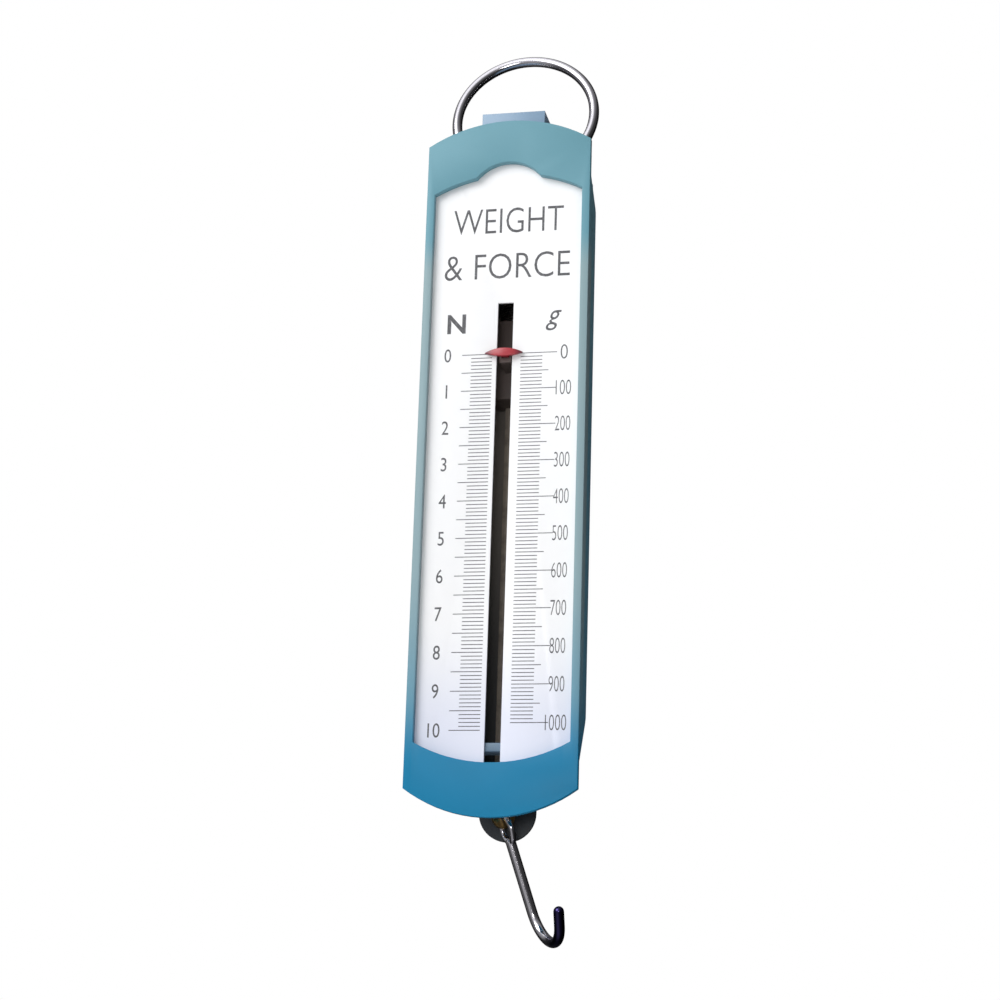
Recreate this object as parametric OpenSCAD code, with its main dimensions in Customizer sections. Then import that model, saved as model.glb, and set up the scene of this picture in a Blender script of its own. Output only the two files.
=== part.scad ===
// Hanging spring scale: a flat dual-scale spring balance with a hanging ring and a load hook.
// Millimetres. +Z is up, the dial faces -Y, and +X is to the right of the dial.
// The origin is the inner crown of the hanging ring, the point that the scale hangs from.
// Inside the case, a datum at the front face and the zero line carries every other size.

/* [Dial] */
// Travel of the pointer from zero to full scale
scale_l = 100; // [60:5:125]
// Travel left past full scale before the carrier meets the guide
overtravel = 0.5; // [0.3:0.1:3]
// Width of the slot in the dial
slot_w = 4.2; // [3.6:0.1:6]
// Height of the slot above the zero line
slot_top = 14.3; // [6:0.1:20]
// Thickness of the dial plate
plate_t = 0.8; // [0.5:0.1:1.5]

/* [Front frame] */
// Width of the frame
frame_w = 44.5; // [40:0.5:60]
// Thickness of the frame, which is also how deep the dial lies
frame_t = 2; // [1.8:0.1:4]
// Width of each side rail
rail_w = 2.1; // [1.6:0.1:4]
// Height of the straight sides above the zero line
side_top = 59.5; // [59:0.5:75]
// Length of the straight sides below the full scale line
side_foot = 14.9; // [14.5:0.1:25]
// Rise of the bowed top end
top_rise = 6.5; // [3:0.1:12]
// Drop of the bowed bottom end
foot_rise = 7.2; // [3:0.1:12]
// Depth of the skirt behind each side rail
skirt_d = 3; // [1:0.5:6]
// Thickness of the skirt
skirt_t = 0.8; // [0.6:0.1:1]

/* [Window] */
// Height of the window's top corners above the zero line
win_top = 45.5; // [40:0.5:48]
// Rise of the window's bowed top edge
win_rise = 5.1; // [2:0.1:6]
// Half width of the raised bay in the top edge
bay_half = 8.8; // [5:0.1:11]
// Rise of the bay above the window's top edge
bay_rise = 4.3; // [2:0.1:5]
// Drop of the window's bottom corners below the full scale line
win_foot = 3.2; // [3:0.1:6]
// Drop of the window's bowed bottom edge
win_drop = 5.2; // [2:0.1:6]

/* [Rear case] */
// Depth of the whole case, front face to back face
case_d = 26; // [25.5:0.5:32]
// Wall of the rear case
wall = 1.6; // [1.2:0.1:1.6]
// Gap between the case's side walls and the frame's outer faces
case_inset = 1.1; // [1.1:0.1:3]
// Radius of the long rear edges
case_r = 10; // [6:0.5:10]
// Height of the rear case's top edge above the zero line
case_top = 54; // [50:0.5:55]
// Height that the top shoulder slopes down by
top_slope = 16; // [8:1:24]
// Drop of the rear case's bottom edge below the full scale line
case_foot = 10; // [8:0.5:12]
// Height that the bottom shoulder slopes up by
foot_slope = 28; // [12:1:36]
// Height of the hump's top above the case's top edge
hump_rise = 2; // [1:0.5:4]
// Thickness of the flange behind the frame's ends
flange_t = 1.4; // [1:0.1:1.4]

/* [Hanging ring] */
// Radius of the ring's centreline
ring_r = 19.5; // [16:0.5:26]
// Diameter of the ring's wire
ring_wire = 2.8; // [1.6:0.1:3.4]
// Height of the ring's centre above its hinge bar
bar_drop = 11.6; // [8:0.1:12]
// Lean of the ring at rest, backwards
ring_lean = 11; // [0:1:20]
// Radial clearance of the bar in its bore
bar_fit = 0.05; // [0.01:0.01:0.1]
// Height of the bar above the rear case's hump
bar_h = 8.8; // [8.5:0.1:14]
// Width of the hanger block
block_w = 17.3; // [15.9:0.1:20]
// Height of the hanger block above the bar
block_top = 5.6; // [3:0.1:9]

/* [Spring] */
// Mean diameter of the coils
coil_d = 8.4; // [6:0.1:8.8]
// Diameter of the spring's wire
coil_wire = 0.7; // [0.5:0.05:0.75]
// Number of coils
coils = 40; // [30:1:42]
// Length of the coiled body at rest
coil_l = 32; // [31.5:0.5:35]
// Depth of the load line behind the front face
load_d = 18; // [17:0.5:18.5]

/* [Channel and slider] */
// Inner width of the spring channel
channel_w = 12.6; // [12.2:0.1:13]
// Wall of the spring channel
channel_t = 1.2; // [1:0.1:1.4]
// Drop of the tongue's tip below the full scale line
tongue_foot = 25.5; // [25:0.5:30]
// Gap between the slider and the channel
slide_gap = 0.35; // [0.3:0.05:0.5]
// Height of the carrier above the pointer
carrier_up = 13; // [8:0.5:13.5]
// Length of the carrier below the pointer
carrier_down = 9.2; // [7:0.1:9.2]
// Width of the pointer
pointer_w = 10.3; // [8:0.1:14]
// Height of the pointer
pointer_h = 2.2; // [1.4:0.1:2.4]
// Width of the draw bar
bar_w = 6.2; // [5:0.1:7]
// Thickness of the draw bar
bar_t = 1.2; // [0.8:0.1:1.4]

/* [Swivel and hook] */
// Radius of the swivel's stem
stem_r = 1.2; // [1:0.05:1.5]
// Radial clearance of the stem in the draw bar's foot
stem_fit = 0.05; // [0.01:0.01:0.1]
// Radius of the hook's eye, on its centreline
eye_r = 3.4; // [3.2:0.1:4.2]
// Diameter of the wire in the eye
eye_wire = 1.6; // [1.2:0.1:1.8]
// Diameter of the hook's wire
hook_wire = 2.7; // [2:0.1:3.4]
// Length of the straight shank, measured from the top of the eye
shank_l = 25; // [18:0.5:40]
// Radius of the bend, on its centreline
bend_r = 8.5; // [6:0.5:14]
// Angle of the bend
bend_a = 145; // [120:1:180]
// Length of the straight tip past the bend
tip_l = 4.5; // [1:0.5:10]
// Turn of the hook about the load line at rest
hook_turn = 59; // [0:1:90]
// Sideways lean of the hook at rest
hook_lean = 20; // [0:1:30]

/* [Hidden] */
$fn = 64;
eps = 0.1;
touch = 0.01;

// Front frame and window
frame_half = frame_w / 2;
win_half = frame_half - rail_w;
side_low = -(scale_l + side_foot);
win_low = -(scale_l + win_foot);
dial_d = frame_t + plate_t;
function bow_r(half, rise) = (half * half + rise * rise) / (2 * rise);
function bow_z(half, rise, x) = sqrt(pow(bow_r(half, rise), 2) - x * x) - bow_r(half, rise) + rise;

// Rear case: section half width, inner face of the back wall, and the two sloped shoulders
case_half = frame_half - case_inset;
back_in = case_d - wall;
case_low = -(scale_l + case_foot);
shoulder_run = 3.2;
shoulder_d = dial_d + shoulder_run;
slope_run = case_d - shoulder_d;
flange_d = dial_d + flange_t;
flange_inset = skirt_t + 0.1;
hump_top = case_top + hump_rise;
hump_low = case_low - 2;

// Channel, nested in the hump with a gap on each side
channel_half = channel_w / 2 + channel_t;
fit_gap = 0.15;
hump_in = channel_half + fit_gap;
hump_wall = 1.85;
hump_half = hump_in + hump_wall;
channel_back = back_in - 0.2;
channel_floor = channel_back - channel_t;
channel_front = 9;
tongue_r = channel_half;
tongue_z = -(scale_l + tongue_foot) + tongue_r;

// Hanging ring and its block
wire_r = ring_wire / 2;
corner_step = 0.03;
crown = bar_drop + ring_r - wire_r;
hinge_y = -crown * sin(ring_lean);
hinge_z = -crown * cos(ring_lean);
hinge_h = hump_top + bar_h;
half_bar = sqrt(ring_r * ring_r - bar_drop * bar_drop);
arc_under = asin(bar_drop / ring_r);
block_front = flange_d + 0.1;
tenon_front = block_front + 3;
block_back = case_d - 3;
block_low = hump_top + 0.3;
tenon_low = hump_top - 10;

// Carrier, spring and anchor on the load line
carrier_half = channel_w / 2 - slide_gap;
carrier_front = load_d - 5.8;
carrier_back = channel_floor - slide_gap;
plug_l = 3.5;
spring_low = carrier_up + coil_wire / 2 + touch;
spring_top = spring_low + coil_l;
coil_sides = 5;
coil_steps = 10;
plug_r = (coil_d - coil_wire) / 2 * cos(180 / coil_steps) - 0.05;
anchor_stem_r = 1.5;
anchor_stem_l = 8.5;

// Draw bar, guide and the stops
guide_top = carrier_down + scale_l + overtravel + 0.5;
guide_t = 3;
guide_pin_d = carrier_front + 2.2;
strip_d = load_d + 2.2;
strip_top = carrier_up - 3;
buffer_t = 1.4;
buffer_half = 3.2;
foot_top = guide_top + guide_t + buffer_t + 0.7;
foot_t = 1.8;
foot_front = carrier_front + 0.8;
washer_t = 0.4;
stop_z = -(scale_l + 3);
stop_h = 2.3;

// Swivel and hook
head_r = 2;
head_t = 0.9;
axial_gap = 0.1;
collar_t = 1;
tab_t = 1.2;
tab_half = 3;
eye_hole_r = eye_wire / 2 + 0.2;
swivel_z = -(foot_top + foot_t + axial_gap);
eye_z = swivel_z - collar_t - eye_hole_r - 0.5;
tip_step = 0.03;

// Screws and pins
end_screw_x = 15.5;
end_screw_r = 1.2;
end_screw_top = side_top - 3.3;
end_screw_low = side_low + 2.4;
screw_bite = 1.3;
head_over = 1;
head_h = 1.2;
ear_x = 10.2;
ear_w = 3;
ear_t = 1.4;
ear_screw_r = 1;
ear_heights = [case_top - 24, case_low + 40];
boss_l = 3.4;
boss_r = 2.4;
hanger_screw_z = (tenon_low + hump_top) / 2;
pin_r = 0.8;
bar_pins = [-5, 5];

// ---------- placing and outline helpers ----------

// Moves what is drawn from the case's datum to the row's frame
module in_case() {
    translate([0, hinge_y - load_d, hinge_z - hinge_h]) children();
}

// Gives a flat outline, drawn in x and z, a thickness from depth d0 to depth d1
module slab(d0, d1) {
    translate([0, d1, 0]) rotate([90, 0, 0]) linear_extrude(d1 - d0) children();
}

// A box between two corners
module block(a, b) {
    translate(a) cube(b - a);
}

// A cylinder along Y from depth d0 to depth d1
module along_y(x, z, r, d0, d1) {
    translate([x, d1, z]) rotate([90, 0, 0]) cylinder(r = r, h = d1 - d0);
}

// A cylinder along X between two x values
module along_x(y, z, r, x0, x1) {
    translate([x0, y, z]) rotate([0, 90, 0]) cylinder(r = r, h = x1 - x0);
}

// A cap bounded by a chord of the given half width and an arc that rises above it
module bow(half, rise) {
    intersection() {
        translate([0, rise - bow_r(half, rise)]) circle(r = bow_r(half, rise), $fn = 180);
        translate([-half, -eps]) square([2 * half, rise + 2 * eps]);
    }
}

// A long outline with a bowed top and bottom, drawn in toward its middle by inset
module bowed(half, low, high, drop, rise, inset = 0) {
    w = half - inset;
    translate([-w, low + inset]) square([2 * w, high - low - 2 * inset]);
    translate([0, high - inset]) bow(w, rise);
    translate([0, low + inset]) mirror([0, 1]) bow(w, drop);
}

// ---------- hanging ring and its block ----------

// Wire ring closed by a straight hinge bar, which lies on the x axis
module d_ring() {
    rotate([90, 0, 0]) translate([0, bar_drop, 0]) rotate([0, 0, -arc_under])
        rotate_extrude(angle = 180 + 2 * arc_under, $fn = 128) translate([ring_r, 0]) circle(r = wire_r);
    along_x(0, 0, wire_r, -half_bar, half_bar);
    for (side = [-1, 1]) translate([side * half_bar, 0, 0]) sphere(r = wire_r + corner_step);
}

module hanging_ring() {
    color("silver") translate([0, hinge_y, hinge_z]) rotate([-ring_lean, 0, 0]) d_ring();
}

module hanger_block() {
    half = block_w / 2;
    color("lightsteelblue") in_case() difference() {
        union() {
            block([-half, block_front, block_low], [half, block_back, hinge_h + block_top]);
            block([-channel_half, tenon_front, tenon_low], [channel_half, channel_back, block_low + eps]);
        }
        along_x(load_d, hinge_h, wire_r + bar_fit, -half - eps, half + eps);
        translate([0, load_d, tenon_low - eps])
            cylinder(r = anchor_stem_r + touch, h = anchor_stem_l + 0.5 + eps);
        along_y(0, hanger_screw_z, pin_r + touch, block_front, case_d);
        for (side = [0, 1]) mirror([side, 0, 0])
            along_x(load_d, hanger_screw_z, end_screw_r + touch, 4, channel_half + eps);
    }
}

module hanger_screws() {
    color("silver") in_case() for (side = [0, 1]) mirror([side, 0, 0]) {
        along_x(load_d, hanger_screw_z, end_screw_r, 4.2, hump_half + eps);
        along_x(load_d, hanger_screw_z, end_screw_r + head_over, hump_half, hump_half + head_h);
    }
}

// ---------- case ----------

// Window: bowed top and bottom, with a raised bay in the middle of the top edge
module window_outline() {
    bowed(win_half, win_low, win_top, win_drop, win_rise);
    translate([0, win_top + bow_z(win_half, win_rise, bay_half) - eps]) bow(bay_half, bay_rise + eps);
}

module frame_outline(inset = 0) {
    bowed(frame_half, side_low, side_top, foot_rise, top_rise, inset);
}

// Places its children at the four end screws, in x and z
module at_end_screws() {
    for (x = [-end_screw_x, end_screw_x], z = [end_screw_low, end_screw_top])
        translate([x, 0, z]) children();
}

module front_frame() {
    color("steelblue") in_case() difference() {
        union() {
            slab(0, frame_t) frame_outline();
            for (side = [0, 1]) mirror([side, 0, 0])
                block([frame_half - skirt_t, frame_t - eps, case_low + 10],
                      [frame_half, frame_t + skirt_d, case_top - 6]);
        }
        slab(-eps, frame_t + eps) window_outline();
        at_end_screws() along_y(0, 0, end_screw_r + touch, frame_t - screw_bite, frame_t + eps);
    }
}

module scale_plate() {
    inset = skirt_t + 0.1;
    color("white") in_case() difference() {
        slab(frame_t, dial_d) frame_outline(inset);
        block([-slot_w / 2, 0, win_low - win_drop], [slot_w / 2, case_d, slot_top]);
        at_end_screws() along_y(0, 0, end_screw_r + 0.2, 0, case_d);
    }
}

// Plan section of the rear case: flat sides, round rear edges, flat back
module case_plan(inset) {
    half = case_half - inset;
    back = case_d - inset;
    r = case_r - inset;
    translate([-half, 0]) square([2 * half, back - r]);
    translate([-half + r, 0]) square([2 * (half - r), back]);
    for (side = [-1, 1]) translate([side * (half - r), back - r]) circle(r = r);
}

// Side profile of the rear case, with both shoulders sloped
module case_profile(inset) {
    up = inset * sqrt(1 + pow(top_slope / slope_run, 2));
    down = inset * sqrt(1 + pow(foot_slope / slope_run, 2));
    front = inset > 0 ? dial_d - eps : dial_d;
    run = slope_run - inset;
    polygon([[front, case_low + down], [shoulder_d, case_low + down],
             [case_d - inset, case_low + down + foot_slope * run / slope_run],
             [case_d - inset, case_top - up - top_slope * run / slope_run],
             [shoulder_d, case_top - up], [front, case_top - up]]);
}

module case_body(inset) {
    intersection() {
        translate([0, 0, case_low - 1]) linear_extrude(case_top - case_low + 2) case_plan(inset);
        translate([-frame_half, 0, 0]) rotate([90, 0, 90]) linear_extrude(frame_w) case_profile(inset);
    }
}

module rear_case() {
    color("teal") in_case() difference() {
        union() {
            difference() {
                union() {
                    case_body(0);
                    slab(dial_d, flange_d) frame_outline(flange_inset);
                    block([-hump_half, dial_d, hump_low], [hump_half, case_d, hump_top]);
                }
                case_body(wall);
                block([-hump_in, 0, hump_low - eps], [hump_in, back_in, hump_top + eps]);
            }
            for (x = [-ear_x, ear_x], z = ear_heights)
                along_y(x, z, boss_r, back_in - boss_l, back_in + eps);
        }
        for (x = [-ear_x, ear_x], z = ear_heights)
            along_y(x, z, ear_screw_r + touch, back_in - boss_l - eps, back_in);
        at_end_screws() along_y(0, 0, end_screw_r + 0.1, 0, case_d);
        along_x(load_d, hanger_screw_z, end_screw_r + 0.1, -hump_half - eps, hump_half + eps);
    }
}

module case_screws() {
    color("silver") in_case() at_end_screws() {
        along_y(0, 0, end_screw_r, frame_t - screw_bite + eps, flange_d + eps);
        along_y(0, 0, end_screw_r + head_over, flange_d, flange_d + head_h);
    }
}

// U-shaped channel, open to the front, that ends in a half-round tongue behind the hook's eye
module spring_channel() {
    ear_d = back_in - boss_l;
    color("#22262b") in_case() difference() {
        union() {
            block([-channel_half, channel_floor, tongue_z], [channel_half, channel_back, tenon_low - 0.2]);
            slab(channel_floor, channel_back) intersection() {
                translate([0, tongue_z]) circle(r = tongue_r);
                translate([-tongue_r, tongue_z - tongue_r]) square([2 * tongue_r, tongue_r + eps]);
            }
            for (side = [0, 1]) mirror([side, 0, 0]) {
                block([channel_w / 2, channel_front, -(guide_top + guide_t)],
                      [channel_half, channel_floor + eps, tenon_low - 0.2]);
                for (z = ear_heights)
                    block([channel_half - eps, ear_d - ear_t, z - ear_w],
                          [ear_x + ear_w, ear_d, z + ear_w]);
            }
        }
        for (x = [-ear_x, ear_x], z = ear_heights) along_y(x, z, ear_screw_r + 0.1, 0, ear_d + eps);
        along_x(guide_pin_d, -(guide_top + guide_t / 2), pin_r + touch, -frame_half, frame_half);
    }
}

module channel_screws() {
    ear_d = back_in - boss_l;
    color("silver") in_case() for (x = [-ear_x, ear_x], z = ear_heights) {
        along_y(x, z, ear_screw_r, ear_d - ear_t - eps, back_in - 0.4);
        along_y(x, z, ear_screw_r + 0.9, ear_d - ear_t - head_h, ear_d - ear_t);
    }
}

// Crossbar over the channel's mouth that the pointer's tang stops on
module slot_stop() {
    color("lightslategray") in_case()
        block([-channel_half, dial_d, stop_z - stop_h], [channel_half, channel_front, stop_z]);
}

// ---------- spring and its anchor ----------

module spring_anchor() {
    color("goldenrod") in_case() translate([0, load_d, 0]) difference() {
        union() {
            translate([0, 0, spring_top - plug_l]) cylinder(r = plug_r, h = plug_l);
            translate([0, 0, spring_top - eps])
                cylinder(r = coil_d / 2, h = tenon_low - spring_top + eps - 0.05);
            translate([0, 0, spring_top])
                cylinder(r = anchor_stem_r, h = tenon_low + anchor_stem_l - spring_top);
        }
        along_y(0, hanger_screw_z, pin_r + touch, -load_d, load_d);
    }
}

module anchor_pin() {
    color("silver") in_case() along_y(0, hanger_screw_z, pin_r, block_front + 3.2, back_in - 0.4);
}

// Ring of points round the wire at turn t of the coil
function coil_ring(t) = let (a = 360 * t, z = spring_low + (coil_l - coil_wire) * t / coils)
    [for (k = [0 : coil_sides - 1]) let (b = 360 * k / coil_sides, r = (coil_d + coil_wire * cos(b)) / 2)
        [r * cos(a), r * sin(a), z + coil_wire / 2 * sin(b)]];

module extension_spring() {
    rings = coils * coil_steps + 1;
    points = [for (i = [0 : rings - 1]) each coil_ring(i / coil_steps)];
    walls = [for (i = [0 : rings - 2], k = [0 : coil_sides - 1])
        let (n = (k + 1) % coil_sides, j = i * coil_sides)
        [j + k, j + coil_sides + k, j + coil_sides + n, j + n]];
    first = [for (k = [0 : coil_sides - 1]) k];
    last = [for (k = [coil_sides - 1 : -1 : 0]) (rings - 1) * coil_sides + k];
    color("gray") in_case() translate([0, load_d, 0])
        polyhedron(points, concat(walls, [first, last]), convexity = 10);
}

// ---------- slider: carrier, pointer and draw bar ----------

module pointer_carrier() {
    arm = 1.6;
    color("#1c1c1f") in_case() difference() {
        union() {
            block([-carrier_half, carrier_front, -carrier_down], [carrier_half, carrier_back, carrier_up]);
            translate([0, load_d, carrier_up - eps]) cylinder(r = plug_r, h = plug_l + eps);
            block([-arm, dial_d + 0.4, -2], [arm, carrier_front + eps, 2]);
        }
        block([-arm + 0.5, 0, -0.6], [arm - 0.5, dial_d + 3.4, 0.6]);
        block([-bar_w / 2, strip_d, -carrier_down - eps], [bar_w / 2, strip_d + bar_t, strip_top]);
        for (z = bar_pins) along_y(0, z, pin_r + touch, load_d, case_d);
    }
}

// Red pointer, arched over the slot, on a flat tang that passes through it
module pointer() {
    tang = 1.1 - touch;
    reach = dial_d + 3.3;
    blade_t = 0.9;
    rise = frame_t - 1.2;
    half = pointer_w / 2;
    edge_r = bow_r(half, pointer_h / 2);
    color("crimson") in_case() {
        block([-tang, blade_t, -0.55], [tang, reach, 0.55]);
        intersection() {
            translate([0, 0.1 + bow_r(half, rise), 0]) difference() {
                cylinder(r = bow_r(half, rise), h = pointer_h, center = true, $fn = 120);
                cylinder(r = bow_r(half, rise) - blade_t, h = 2 * pointer_h, center = true, $fn = 120);
            }
            slab(0, frame_t - 0.4) intersection() {
                translate([0, edge_r - pointer_h / 2]) circle(r = edge_r, $fn = 180);
                translate([0, pointer_h / 2 - edge_r]) circle(r = edge_r, $fn = 180);
            }
        }
    }
}

// Flat strip bent forward at its lower end into a foot that the swivel hangs from
module draw_bar() {
    color("#6b6258") in_case() difference() {
        union() {
            block([-bar_w / 2, strip_d, -foot_top - foot_t],
                  [bar_w / 2, strip_d + bar_t, strip_top - eps]);
            block([-bar_w / 2, foot_front, -foot_top - foot_t], [bar_w / 2, strip_d + eps, -foot_top]);
        }
        translate([0, load_d, -foot_top - foot_t - eps])
            cylinder(r = stem_r + stem_fit, h = foot_t + 2 * eps);
        for (z = bar_pins) along_y(0, z, pin_r + touch, load_d, case_d);
    }
}

module draw_bar_pins() {
    color("silver") in_case() for (z = bar_pins) along_y(0, z, pin_r, load_d + eps, carrier_back - touch);
}

module bottom_guide() {
    low = -(guide_top + guide_t);
    half = channel_w / 2 - 0.1;
    slot_gap = 0.3;
    color("#22262b") in_case() difference() {
        block([-half, carrier_front + 0.4, low], [half, channel_floor - 0.1, -guide_top]);
        block([-bar_w / 2 - slot_gap, strip_d - slot_gap, low - eps],
              [bar_w / 2 + slot_gap, strip_d + bar_t + slot_gap, eps - guide_top]);
        along_x(guide_pin_d, -(guide_top + guide_t / 2), pin_r + touch, -frame_half, frame_half);
    }
}

module guide_pin() {
    color("silver") in_case()
        along_x(guide_pin_d, -(guide_top + guide_t / 2), pin_r, -channel_half, channel_half);
}

module return_buffer() {
    low = -(guide_top + guide_t);
    color("#30302e") in_case()
        block([-buffer_half, foot_front, low - buffer_t], [buffer_half, load_d - head_r - 0.6, low]);
}

module swivel_washer() {
    color("silver") in_case() translate([0, load_d, -foot_top]) difference() {
        cylinder(r = head_r + 0.1, h = washer_t);
        translate([0, 0, -eps]) cylinder(r = stem_r + stem_fit, h = washer_t + 2 * eps);
    }
}

// ---------- swivel and hook ----------

// Turns what is drawn to the hook's rest direction: +X of the child is the tip's side
module turned() {
    in_case() translate([0, load_d, 0]) rotate([0, 0, -hook_turn]) children();
}

module swivel() {
    stem_top = washer_t + foot_t + 2 * axial_gap;
    color("goldenrod") turned() difference() {
        union() {
            translate([0, 0, swivel_z - touch]) cylinder(r = stem_r, h = stem_top + 2 * touch);
            translate([0, 0, swivel_z + stem_top]) cylinder(r = head_r, h = head_t);
            translate([0, 0, swivel_z - collar_t]) cylinder(r = tab_half, h = collar_t);
            block([-tab_t / 2, -tab_half, eye_z], [tab_t / 2, tab_half, swivel_z - collar_t + eps]);
            intersection() {
                along_x(0, eye_z, tab_half, -tab_t / 2, tab_t / 2);
                block([-tab_t, -tab_half, eye_z - tab_half], [tab_t, tab_half, eye_z + eps]);
            }
        }
        along_x(0, eye_z, eye_hole_r, -tab_t, tab_t);
    }
}

// The hook lies in its own x-z plane: eye, shank, bend and tip, with the eye's top at its origin
module hook_shape() {
    r = hook_wire / 2;
    eye_low = 2 * eye_r;
    translate([0, 0, -eye_r]) rotate([90, 0, 0]) rotate_extrude($fn = 96)
        translate([eye_r, 0]) circle(r = eye_wire / 2, $fn = 32);
    translate([0, 0, -eye_low]) sphere(r = r);
    translate([0, 0, -shank_l]) cylinder(r = r, h = shank_l - eye_low);
    translate([bend_r, 0, -shank_l]) rotate([90, 0, 0]) rotate([0, 0, 180])
        rotate_extrude(angle = bend_a, $fn = 96) translate([bend_r, 0]) circle(r = r);
    translate([bend_r, 0, -shank_l]) rotate([0, -bend_a, 0])
    translate([-bend_r, 0, 0]) rotate([180, 0, 0]) {
        translate([0, 0, -eps]) cylinder(r = r - tip_step, h = tip_l + eps);
        translate([0, 0, tip_l]) sphere(r = r - tip_step);
    }
}

module hook() {
    color("silver") turned() translate([0, 0, eye_z]) rotate([hook_lean, 0, 0]) hook_shape();
}

hanging_ring();
hanger_block();
hanger_screws();
front_frame();
scale_plate();
rear_case();
case_screws();
spring_channel();
channel_screws();
spring_anchor();
anchor_pin();
extension_spring();
pointer_carrier();
pointer();
draw_bar();
draw_bar_pins();
bottom_guide();
guide_pin();
return_buffer();
slot_stop();
swivel_washer();
swivel();
hook();
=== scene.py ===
"""Looks of the hanging spring scale, as an add-on for the 3D view's sidebar."""

import math

import bmesh
import bpy
from bpy.props import (FloatProperty, FloatVectorProperty, IntProperty, PointerProperty,
                       StringProperty)
from mathutils import Matrix, Vector


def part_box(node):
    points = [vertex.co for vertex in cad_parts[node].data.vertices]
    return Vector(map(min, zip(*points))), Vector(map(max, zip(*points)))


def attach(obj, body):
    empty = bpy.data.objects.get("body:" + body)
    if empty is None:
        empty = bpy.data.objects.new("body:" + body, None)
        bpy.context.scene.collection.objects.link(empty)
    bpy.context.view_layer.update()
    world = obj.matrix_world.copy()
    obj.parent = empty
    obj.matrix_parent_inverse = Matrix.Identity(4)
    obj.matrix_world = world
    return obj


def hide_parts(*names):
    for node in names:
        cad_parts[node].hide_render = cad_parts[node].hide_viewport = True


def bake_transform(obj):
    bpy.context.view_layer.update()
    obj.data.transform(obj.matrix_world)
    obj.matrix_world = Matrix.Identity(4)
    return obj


bl_info = {
    "name": "Hanging spring scale",
    "version": (1, 0, 0),
    "blender": (4, 5, 0),
    "location": "View3D > Sidebar > Spring scale",
    "description": "Builds the visible pieces of a hanging spring scale round its packed parts",
    "category": "Object",
}

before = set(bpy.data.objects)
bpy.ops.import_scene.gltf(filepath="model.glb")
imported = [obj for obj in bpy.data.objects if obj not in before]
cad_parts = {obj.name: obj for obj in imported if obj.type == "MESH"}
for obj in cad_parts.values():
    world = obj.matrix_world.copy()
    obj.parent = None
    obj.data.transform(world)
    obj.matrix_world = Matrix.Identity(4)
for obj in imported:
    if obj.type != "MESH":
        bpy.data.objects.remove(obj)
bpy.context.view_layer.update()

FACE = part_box("front_frame")[0].y
PLATE_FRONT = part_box("scale_plate")[0].y
ZERO = sum(corner.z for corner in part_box("pointer")) / 2
LOAD_Y = sum(corner.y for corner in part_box("swivel_washer")) / 2
RING_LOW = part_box("hanging_ring")[0]
SPRING_LOW, SPRING_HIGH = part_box("extension_spring")
HOOK_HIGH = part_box("hook")[1]
# The eye hangs in the swivel's hole, a tab's half width above the tab's end
EYE_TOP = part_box("swivel")[0].z + 0.0030

# Points this close are one point, on a solid and on lettering that is not yet scaled
CLOSE = 1e-6
CLOSE_LETTERS = 1e-5
# Faces of a copied solid that differ by less than this many degrees are made one
FLAT = 0.4
# Edges that turn by more than this many degrees are rounded
SHARP = 32

# Heights over which the rails' painted sheen goes from nothing to full, at the window's foot and
# head
WINDOW_FOOT = (ZERO - 0.112, ZERO - 0.055)
WINDOW_HEAD = (ZERO + 0.034, ZERO + 0.022)
# Pairs of ramps, each with the height of its start, the height of its full and its share: painted
# sheen that makes the case greyer towards the top, and dust in the channel
CASE_SHEEN_RAMPS = ((ZERO - 0.108, ZERO - 0.088, 0.55), (ZERO - 0.080, ZERO + 0.066, 0.4))
DUST_FADES = ((ZERO - 0.100, ZERO - 0.040, 0.6), (ZERO - 0.075, ZERO - 0.020, 0.4))
# Heights between which the dial turns lavender towards its foot: painted shade where less light
# falls
PLATE_FOOT_SHADE = (ZERO - 0.104, ZERO - 0.070)
# Distances from the middle where a side's colour starts and is full, and its strength; the rails'
# colour is a painted sheen
RAIL_SIDES = (0.0178, 0.0190, 0.75)
# The pointer's darker ends are painted shade, where the arched pointer curves away from the light
POINTER_SIDES = (0.0020, 0.0044, 0.9)
# Top of the hook, sideways drift of the border of its painted dark reflection for each metre down,
# and the distances from the border where the painted dark starts and is full
DARK_BORDER = (HOOK_HIGH.z, 0.312, 0.0018, 0.0036)

# Radius and height of a screw's head, radius of its shank, and length of a side screw's shank
SCREW_HEAD = 0.0022
SCREW_RISE = 0.0012
SCREW_SHANK = 0.0012
SIDE_SCREW_REACH = 0.0052

# Start and end of the lines beside the slot, their pitch and their number
NEWTON_LINES = ((0.0012, 0.0068, 0.001, 101), (0.0068, 0.0093, 0.005, 21))
GRAM_LINES = ((0.0023, 0.0081, 0.000981, 101), (0.0081, 0.0098, 0.004905, 21),
              (0.0098, 0.0120, 0.00981, 11))
# Drop from one figure to the next, for one newton and for a hundred grams
NEWTON_DROP = 0.010
GRAM_DROP = 0.00981
FIGURES = 11
# Distances of the middles of the figures and the units from the slot's edge
NEWTON_FIGURES, GRAM_FIGURES = 0.0132, 0.0139
NEWTON_UNIT, GRAM_UNIT = 0.0111, 0.0109
# Heights of the units and of the title's two lines above the zero line
UNIT_UP, UPPER_UP, LOWER_UP = 0.0088, 0.0378, 0.0248
# Width of a figure for its height, where no width is set
NARROW = 0.78


def length(name, description, value):
    """A size property in metres."""
    return FloatProperty(name=name, description=description, default=value, min=0.0,
                         unit="LENGTH", precision=5)


def angle(name, description, degrees):
    """An angle property, given in degrees."""
    return FloatProperty(name=name, description=description, default=math.radians(degrees),
                         subtype="ANGLE")


def share(name, description, value):
    """A factor property from 0 to 1."""
    return FloatProperty(name=name, description=description, default=value, min=0.0, max=1.0,
                         subtype="FACTOR")


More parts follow.
